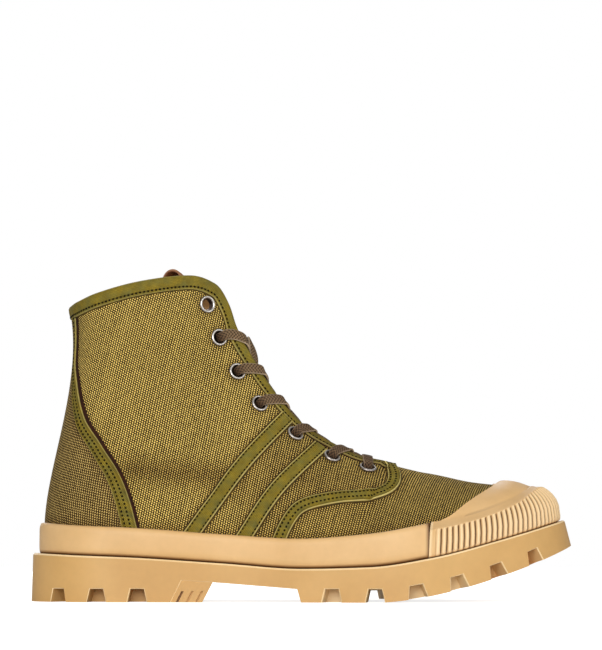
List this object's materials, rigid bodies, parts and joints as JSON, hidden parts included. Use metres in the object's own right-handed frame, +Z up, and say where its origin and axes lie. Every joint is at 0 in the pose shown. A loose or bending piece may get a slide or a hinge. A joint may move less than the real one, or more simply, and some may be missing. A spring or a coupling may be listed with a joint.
{
  "type": "canvas ankle boot",
  "caption": "Canvas ankle boot for the right foot: laced hollow upper with sewn tapes, ribbed rubber toe cap, midsole band and lugged rubber outsole.",
  "frame": {"origin": "on the floor under the middle of the outsole's box", "axes": "+X to the toe, +Y to the medial side, +Z up"},
  "size_m": [0.293, 0.1097, 0.1802],
  "materials": {
    "canvas": "coarse olive khaki canvas",
    "tape": "olive green twill tape",
    "outsole_rubber": "satin tan",
    "midsole_rubber": "satin pale tan",
    "leather": "natural tan leather",
    "eyelet_metal": "dull nickel",
    "lace": "brown grey flat braid",
    "tongue_cloth": "dark brown canvas",
    "footbed": "dark olive lining"
  },
  "bodies": {
    "root": {"upper": "canvas", "heel_counter": "canvas", "edge_binding": "tape", "band_lateral_front": "tape", "band_lateral_rear": "tape", "band_medial_front": "tape", "band_medial_rear": "tape", "eyestay_tape_lateral": "tape", "eyestay_tape_medial": "tape", "counter_tape_lateral": "tape", "counter_tape_medial": "tape", "outsole": "outsole_rubber", "midsole": "midsole_rubber", "toe_cap": "midsole_rubber", "badge": "leather", "tongue_tab": "leather", "eyelet_lateral_1": "eyelet_metal", "eyelet_lateral_2": "eyelet_metal", "eyelet_lateral_3": "eyelet_metal", "eyelet_lateral_4": "eyelet_metal", "eyelet_lateral_5": "eyelet_metal", "eyelet_lateral_6": "eyelet_metal", "eyelet_lateral_7": "eyelet_metal", "eyelet_medial_1": "eyelet_metal", "eyelet_medial_2": "eyelet_metal", "eyelet_medial_3": "eyelet_metal", "eyelet_medial_4": "eyelet_metal", "eyelet_medial_5": "eyelet_metal", "eyelet_medial_6": "eyelet_metal", "eyelet_medial_7": "eyelet_metal", "lace_bar": "lace", "lace_cross_1": "lace", "lace_cross_2": "lace", "lace_cross_3": "lace", "lace_cross_4": "lace", "lace_cross_5": "lace", "tongue": "tongue_cloth", "insole": "footbed"}
  },
  "joints": []
}
